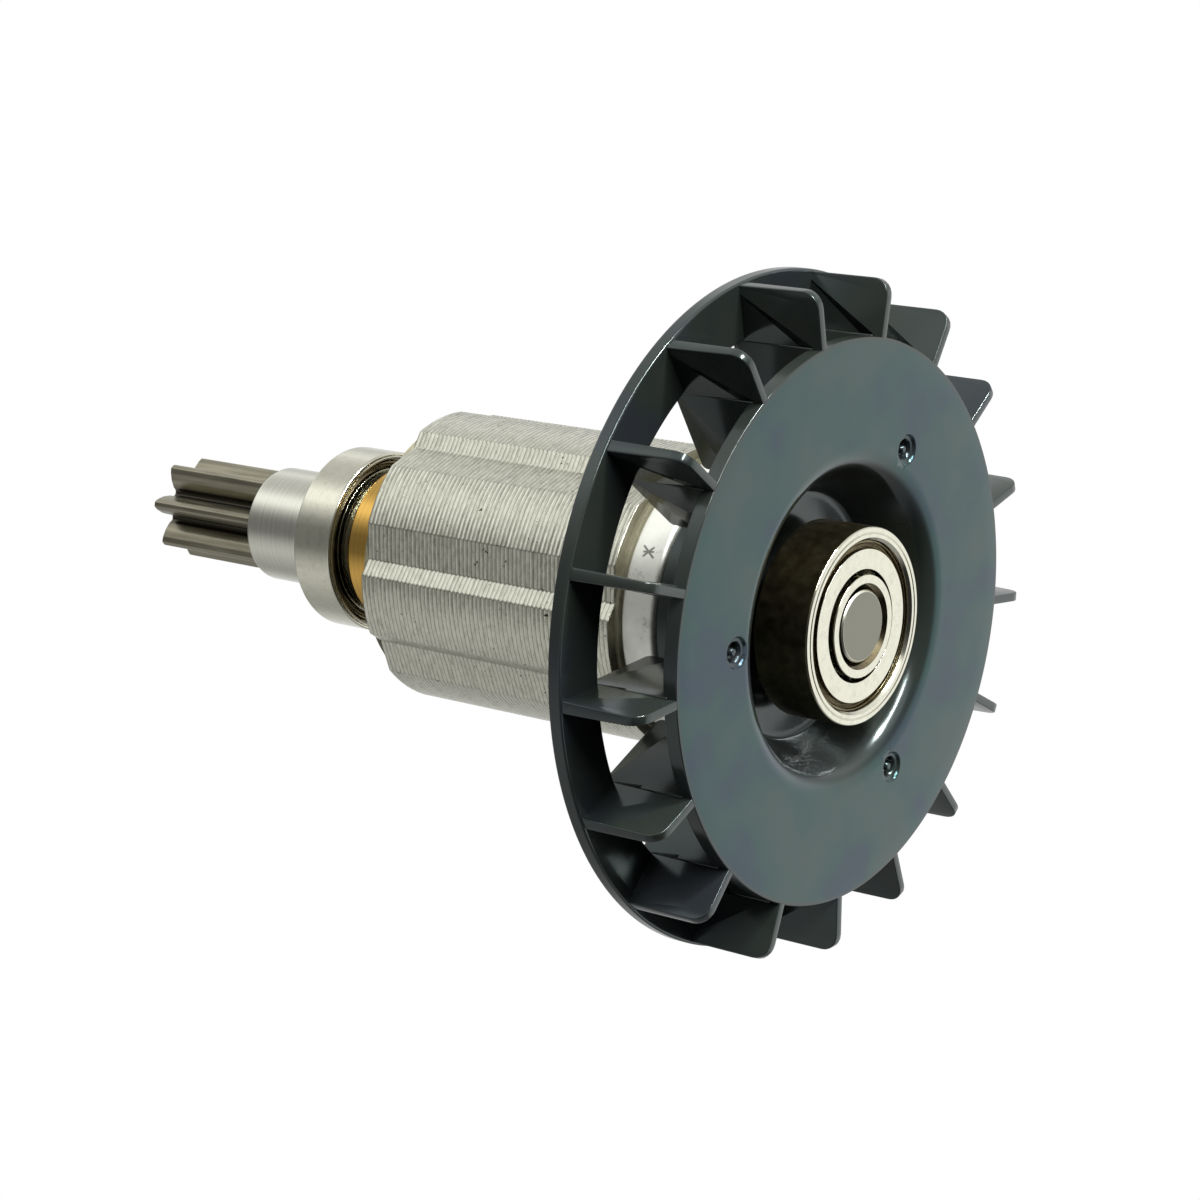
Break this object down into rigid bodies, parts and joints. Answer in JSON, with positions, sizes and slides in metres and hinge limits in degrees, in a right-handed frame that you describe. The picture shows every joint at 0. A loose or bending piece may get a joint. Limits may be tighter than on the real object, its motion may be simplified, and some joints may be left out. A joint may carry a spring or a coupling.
{
  "type": "motor armature",
  "caption": "Motor rotor on a toothed pinion shaft: round laminated core, brass and pale metal balance rings, black radial fan and a shielded ball bearing at each end.",
  "frame": {"origin": "on the turning axis at the outer face of the fan-end bearing, which the armature stands on", "axes": "+Z along the turning axis from the fan-end bearing to the pinion; X and Y across it"},
  "size_m": [0.0658, 0.0658, 0.089],
  "materials": {
    "shaft_steel": "ground, grey-brown on the teeth",
    "bright_steel": "bright turned",
    "bearing_steel": "polished",
    "lamination_steel": "fine lines round the stack",
    "magnet": "plated",
    "olive_board": "matt",
    "pale_metal": "cast, satin",
    "brass": "turned",
    "black_plastic": "satin moulding",
    "cage_plastic": "moulded"
  },
  "bodies": {
    "rotor": {"pinion_shaft": "shaft_steel", "seal_sleeve": "bright_steel", "bearing_spacer": "bright_steel", "brass_balance_ring": "brass", "pinion_side_end_plate": "olive_board", "rotor_core": "lamination_steel", "magnets": "magnet", "fan_side_end_plate": "olive_board", "fan_side_balance_ring": "pale_metal", "fan": "black_plastic", "fan_bearing_inner_ring": "bearing_steel", "pinion_bearing_inner_ring": "bearing_steel"},
    "fan_bearing_case": {"fan_bearing_outer_ring": "bearing_steel", "fan_bearing_fan_side_shield": "bearing_steel", "fan_bearing_pinion_side_shield": "bearing_steel"},
    "fan_bearing_ball_set": {"fan_bearing_cage": "cage_plastic", "fan_bearing_balls": "bearing_steel"},
    "pinion_bearing_case": {"pinion_bearing_outer_ring": "bearing_steel", "pinion_bearing_fan_side_shield": "bearing_steel", "pinion_bearing_pinion_side_shield": "bearing_steel"},
    "pinion_bearing_ball_set": {"pinion_bearing_cage": "cage_plastic", "pinion_bearing_balls": "bearing_steel"}
  },
  "joints": [
    {"name": "fan_bearing_spin", "type": "hinge", "parent": "rotor", "child": "fan_bearing_case", "pos_m": [0, 0, 0.003], "axis": [0, 0, 1], "continuous": true},
    {"name": "fan_bearing_ball_orbit", "type": "hinge", "parent": "rotor", "child": "fan_bearing_ball_set", "pos_m": [0, 0, 0.003], "axis": [0, 0, 1], "continuous": true},
    {"name": "pinion_bearing_spin", "type": "hinge", "parent": "rotor", "child": "pinion_bearing_case", "pos_m": [0, 0, 0.0619], "axis": [0, 0, 1], "continuous": true},
    {"name": "pinion_bearing_ball_orbit", "type": "hinge", "parent": "rotor", "child": "pinion_bearing_ball_set", "pos_m": [0, 0, 0.0619], "axis": [0, 0, 1], "continuous": true}
  ],
  "couplings": [
    {"joint": "fan_bearing_ball_orbit", "follows": "fan_bearing_spin", "ratio": 0.62357},
    {"joint": "pinion_bearing_ball_orbit", "follows": "pinion_bearing_spin", "ratio": 0.57576}
  ]
}
